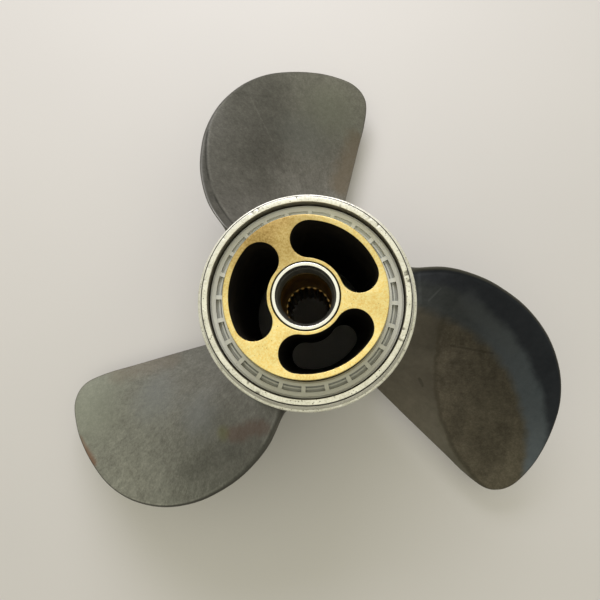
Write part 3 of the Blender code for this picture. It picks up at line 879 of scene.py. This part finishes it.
def ring_heights(top, sign):
    """Radial and angular limits of the ring's cells and the height of each cell's top."""
    middle = sum(POCKET_R) / 2
    radii = [RING_IN_R, RING_IN_R + 0.8, POCKET_R[0], middle - 0.6, middle + 0.2, POCKET_R[1],
             RING_OUT_R - 1.0, RING_OUT_R]
    rib = math.degrees(RIB_THICK / middle)
    pitch = 360 / POCKETS
    turns, kinds = [], []
    for number in range(POCKETS):
        start = 90 + RIB_TURN + pitch * number - rib / 2
        turns += [start, start + rib / 2]
        kinds += ["rib", "rib"]
        inside = pitch - rib
        turns += [start + rib + inside * k / 5 for k in range(5)]
        kinds += ["pocket"] * 5
    depths = {"rib": [0.5, 0.0, 0.15, 0.15, 0.15, 0.0, 0.35],
              "pocket": [0.5, 0.0, POCKET_DEEP, POCKET_DEEP - 1.0, POCKET_DEEP, 0.0, 0.35]}
    heights = [[top - sign * depth for depth in depths[kind]] for kind in kinds]
    return radii, turns, heights


def make_guide_ring(name, body_low, body_high, faces_up, look):
    """A moulded ring of cells: walls, ribs, and deep pockets with a web along each."""
    top, foot, sign = (body_high, body_low, 1) if faces_up else (body_low, body_high, -1)
    radii, turns, heights = ring_heights(top, sign)
    index, points, faces, painted_shade = {}, [], [], []

    def corner(i, k, z):
        key = (i % len(turns), k, round(z, 4))
        if key not in index:
            index[key] = len(points)
            sunk = abs(top - z)
            fall = CROWN_FALL[k] * sign if sunk < 1.0 else 0.0
            points.append((*on_circle(radii[k], turns[key[0]]), z - fall))
            # Painted shade: more at the edges and in the pockets, most in their depths.
            painted_shade.append(max(RING_SHADE[k], min(1.0, 0.85 * sunk / POCKET_DEEP)))
        return index[key]

    for i in range(len(turns)):
        for k in range(len(radii) - 1):
            z = heights[i][k]
            faces.append([corner(i, k, z), corner(i, k + 1, z),
                          corner(i + 1, k + 1, z), corner(i + 1, k, z)])
            faces.append([corner(i, k, foot), corner(i, k + 1, foot),
                          corner(i + 1, k + 1, foot), corner(i + 1, k, foot)])
            after = heights[(i + 1) % len(turns)][k]
            if after != z:
                faces.append([corner(i + 1, k, z), corner(i + 1, k + 1, z),
                              corner(i + 1, k + 1, after), corner(i + 1, k, after)])
            beyond = heights[i][k + 1] if k + 2 < len(radii) else foot
            if beyond != z:
                faces.append([corner(i, k + 1, z), corner(i + 1, k + 1, z),
                              corner(i + 1, k + 1, beyond), corner(i, k + 1, beyond)])
            if k == 0:
                faces.append([corner(i, 0, z), corner(i + 1, 0, z),
                              corner(i + 1, 0, foot), corner(i, 0, foot)])
    mesh = make_mesh(name, points, faces)
    mark_points(mesh, "painted_shade", painted_shade)
    ring = new_object(f"{name}_moulded", mesh)
    finish_piece(ring, "barrel", [name], look, sharp=30.0)


# ---------------- hub core and bore

def passage_outline(turn, steps=48):
    """A kidney: two round lobes joined by an outer and an inner arc about the shaft axis."""
    def arc(radius, direction):
        turns = [turn + direction * LOBE_TURN * (2 * i / steps - 1)
                 for i in range(steps + 1)]
        return [on_circle(radius, at) for at in turns]

    def lobe(side, order):
        middle = turn + LOBE_TURN * side
        x, y = on_circle(PASSAGE_R, middle)
        out = [on_circle(LOBE_R, middle + side * 7.5 * i) for i in order]
        return [(x + dx, y + dy) for dx, dy in out]

    return (arc(PASSAGE_R + LOBE_R, 1) + lobe(1, range(1, 24))
            + arc(PASSAGE_R - LOBE_R, -1) + lobe(-1, range(23, 0, -1)))


def make_core():
    """Bronze inner hub with soft-edged exhaust passages and a stepped bore; gives back its bronze
    finish for the drive lugs.
    """
    low, high = CORE_LOW[2], CORE_HIGH[2]
    seat = BUSH_SEAT_R
    top = BUSH_HIGH[2] + 0.6
    profile = [(CORE_R, high, 0.5), (CORE_R, low, 0.8), (seat, low, 0.5),
               (seat, CLIP_Z[0] - 0.3, 0.1), (seat + 1.1, CLIP_Z[0] - 0.3, 0.1),
               (seat + 1.1, CLIP_Z[1] + 0.3, 0.1), (seat, CLIP_Z[1] + 0.3, 0.1),
               (seat, top, 0.1), (BORE_R, top, 0.2), (BORE_R, SLEEVE_SEAT_Z, 0.2),
               (SLEEVE_SEAT_R, SLEEVE_SEAT_Z, 0.1), (SLEEVE_SEAT_R, high, 0.35)]
    core = lathe("hub_core_bronze", profile, 240)
    looks = [bronze_look(), soot_and_shade_look(), bore_look()]
    for look in looks:
        core.data.materials.append(look)
    cutters = []
    for number in range(BLADES):
        outline = passage_outline(90 + PASSAGE_TURN + 360 / BLADES * number)
        cutter = new_object("passage", prism_mesh("passage", outline, low - 5, high + 5))
        cutter.data.materials.append(looks[1])
        cutters.append(cutter)
    cut_away(core, cutters)
    bevel_edges(core, 0.45, 3, 60.0)
    for face in core.data.polygons:
        centre = face.center / MM
        reach = math.hypot(centre.x, centre.y)
        in_passage = PASSAGE_R - 10.5 < reach < PASSAGE_R + 10.5 and abs(face.normal.z) < 0.4
        if in_passage and low + 0.5 < centre.z < high - 0.5:
            face.material_index = 1
        elif reach < PASSAGE_R - 10.4 and centre.z < high - 0.4:
            face.material_index = 2
        else:
            face.material_index = 0
    finish_piece(core, "core", ["hub_core"], None, sharp=35.0)
    return looks[0]


def make_lugs(look):
    """The core's drive lugs, let into its side."""
    for number in range(BLADES):
        middle = 90 + KEY_TURN + 60 + 360 / BLADES * number
        turns = [middle - LUG_HALF + LUG_HALF * k / 8 for k in range(17)]
        outline = [on_circle(CORE_R - 0.6, turn) for turn in turns]
        outline += [on_circle(LUG_R, turn) for turn in reversed(turns)]
        lug = new_object(f"core_lug_{number + 1}", prism_mesh("lug", outline, *DRIVE_Z))
        bevel_edges(lug, 0.6, 2)
        finish_piece(lug, "core", [], look)


def make_sleeve():
    top, low = SLEEVE_HIGH[2], SLEEVE_LOW[2]
    outer_r, step_r, mouth_r = SLEEVE_HIGH[0], 15.0, 14.5
    profile = [(outer_r, top, 0.35), (outer_r, low, 0.2), (BORE_R + 0.2, low, 0.1),
               (BORE_R + 0.2, low + 2.5, 0.1), (step_r, low + 2.5, 0.1), (step_r, top - 6.5, 0.1),
               (mouth_r, top - 5.5, 0.2), (mouth_r, top, 0.3)]
    sleeve = lathe("bore_sleeve_ground", profile)
    finish_piece(sleeve, "core", ["bore_sleeve"], sleeve_look())


def make_seal():
    """A lipped seal ring, tapering to its lip."""
    top, low, outer_r = SEAL_HIGH[2], SEAL_LOW[2], SEAL_HIGH[0]
    profile = [(outer_r, top, 0.2), (outer_r, low, 0.2), (13.0, low, 0.4), (12.8, low + 1.2, 0.4),
               (12.8, low + 3.0, 0.4), (14.0, top, 0.2)]
    finish_piece(lathe("seal_ring_lipped", profile), "core", ["seal_ring"],
                 seal_look())


def tooth_radius(share):
    """Radius of the splined bore across one tooth, with rounded crown and root."""
    wave = math.cos(2 * math.pi * share)
    steep = math.tanh(2.6 * wave) / math.tanh(2.6)
    middle = (SPLINE_ROOT_R + SPLINE_TIP_R) / 2
    return middle - (SPLINE_ROOT_R - SPLINE_TIP_R) / 2 * steep


def make_splines():
    """The splined bush: tooth flanks run the whole length, with a lead-in at both ends."""
    low, high, outer_r = BUSH_LOW[2], BUSH_HIGH[2], BUSH_HIGH[1]
    count = SPLINES * SPLINE_STEPS
    # Each level: height, lead-in chamfer and how much painted highlight its crowns get.
    levels = [(low, 1.0, 0.3), (low + 1.2, 0.0, 0.2), (high - 1.2, 0.0, 0.3), (high, 1.0, 0.9)]
    points, faces, crown = [], [], []
    for z, chamfer, wear_and_highlight in levels:
        for i in range(count):
            radius = tooth_radius(i / SPLINE_STEPS)
            crown.append(wear_and_highlight * (SPLINE_ROOT_R - radius) / (SPLINE_ROOT_R - SPLINE_TIP_R))
            radius += chamfer * (SPLINE_ROOT_R + 0.1 - radius) * 0.75
            points.append((*on_circle(radius, 360 * i / count), z))
    for z in (high, low):
        points += [(*on_circle(outer_r - 0.02, 360 * i / count), z) for i in range(count)]
        crown += [0.0] * count
    rings = len(levels) + 2
    for k in range(rings):
        m = (k + 1) % rings
        for i in range(count):
            j = (i + 1) % count
            faces.append([k * count + i, k * count + j, m * count + j, m * count + i])
    mesh = make_mesh("spline_bush", points, faces)
    mark_points(mesh, "crown", crown)
    bush = new_object("spline_bush_broached", mesh)
    finish_piece(bush, "core", ["spline_bush"], spline_look(), sharp=30.0)


def make_hidden_looks():
    """Finishes of the CAD nodes that keep their own shape."""
    spring, rubber = spring_look(), rubber_look()
    for name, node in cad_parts.items():
        if "circlip" in name or "drive_key" in name or "buffer" in name:
            for slot in node.material_slots:
                slot.material = rubber if "buffer" in name else spring


# ---------------- stage, light, camera

CAMERA_PLACE = (7.47, -29.79, 415.21)
CAMERA_TILT, CAMERA_PAN = 0.11277, 0.02599
PICTURE_TURN = math.radians(-8.0)
SKY_COLOUR = (1.0, 0.975, 0.78)
ZENITH, MIDDLE, HORIZON = 1.12, 0.52, 0.17
SKY_SLOPE = 0.6
WINDOW_PLACE, WINDOW_SIZE = (0.0, 750.0, 700.0), (700.0, 500.0)
WINDOW_POWER, WINDOW_COLOUR = 5.2, (1.0, 0.98, 1.05)
WINDOW_TARGET = (0.0, 0.0, 60.0)
LENS, SHIFT = 31.785, (-0.01268, -0.00158)
FLOOR_HALF = 2500


def make_floor():
    corners = ((-1, -1), (1, -1), (1, 1), (-1, 1))
    points = [(x * FLOOR_HALF, y * FLOOR_HALF, 0.0) for x, y in corners]
    floor = new_object("floor", make_mesh("floor", points, [(0, 1, 2, 3)]))
    look = Look("pale_floor", 0.0, 0.6)
    look.colour = look.ramp(look.noise(420, 3, 0.5), (0.3, (0.655, 0.637, 0.645)),
                            (0.7, (0.695, 0.674, 0.68)))
    floor.data.materials.append(look.finish(None, look.bump(look.noise(3, 4, 0.6), 0.03)))


def make_camera():
    data = bpy.data.cameras.new("camera")
    camera = new_object("camera", data)
    tilt = Matrix.Rotation(-CAMERA_TILT, 3, "X") @ Matrix.Rotation(-CAMERA_PAN, 3, "Y")
    turn = Matrix.Rotation(PICTURE_TURN, 4, "Z")
    place = Matrix.Translation(Vector(CAMERA_PLACE) * MM)
    camera.matrix_world = turn @ place @ tilt.transposed().to_4x4()
    data.sensor_width, data.lens = 36.0, LENS
    data.shift_x, data.shift_y = SHIFT
    data.clip_start = 0.01
    bpy.context.scene.camera = camera


def make_window():
    """The one lamp: a window beyond blade 1."""
    data = bpy.data.lights.new("window", "AREA")
    data.shape = "RECTANGLE"
    data.size, data.size_y = (side * MM for side in WINDOW_SIZE)
    data.energy, data.color = WINDOW_POWER, WINDOW_COLOUR
    light = new_object("window", data)
    light.location = Vector(WINDOW_PLACE) * MM
    facing = Vector(WINDOW_TARGET) - Vector(WINDOW_PLACE)
    light.rotation_euler = facing.to_track_quat("-Z", "Y").to_euler()


def sky_strength(tree):
    """Strength by direction: bright overhead, and from the horizon up brighter towards +Y."""
    sky = Nodes(tree)
    split = sky.node("SeparateXYZ", {0: sky.node("TexCoord", {})["Generated"]})
    side = sky.both(split["Y"], SKY_SLOPE)
    horizon = sky.maths("MULTIPLY_ADD", side, HORIZON, HORIZON)
    middle = sky.maths("MULTIPLY_ADD", side, MIDDLE, MIDDLE)
    low, high = sky.between(split["Z"], 0.1, 0.7), sky.between(split["Z"], 0.65, 0.97)
    level = sky.maths("MULTIPLY_ADD", sky.maths("SUBTRACT", middle, horizon), low, horizon)
    return sky.maths("MULTIPLY_ADD", sky.maths("SUBTRACT", ZENITH, level), high, level)


def make_light():
    world = bpy.data.worlds.new("studio")
    bpy.context.scene.world = world
    world.use_nodes = True
    background = world.node_tree.nodes["Background"]
    background.inputs["Color"].default_value = (*SKY_COLOUR, 1.0)
    world.node_tree.links.new(sky_strength(world.node_tree), background.inputs["Strength"])
    make_window()
    bpy.context.scene.view_settings.view_transform = "Standard"


def main():
    make_camera()
    make_floor()
    make_light()
    make_barrel()
    make_blades()
    polymer = polymer_look()
    make_guide_ring("front_guide_ring", RING_LOW[2], RING_HIGH[2], True, polymer)
    make_guide_ring("aft_guide_ring", AFT_RING_LOW[2], AFT_RING_HIGH[2], False, polymer)
    make_lugs(make_core())
    make_sleeve()
    make_seal()
    make_splines()
    make_hidden_looks()


main()
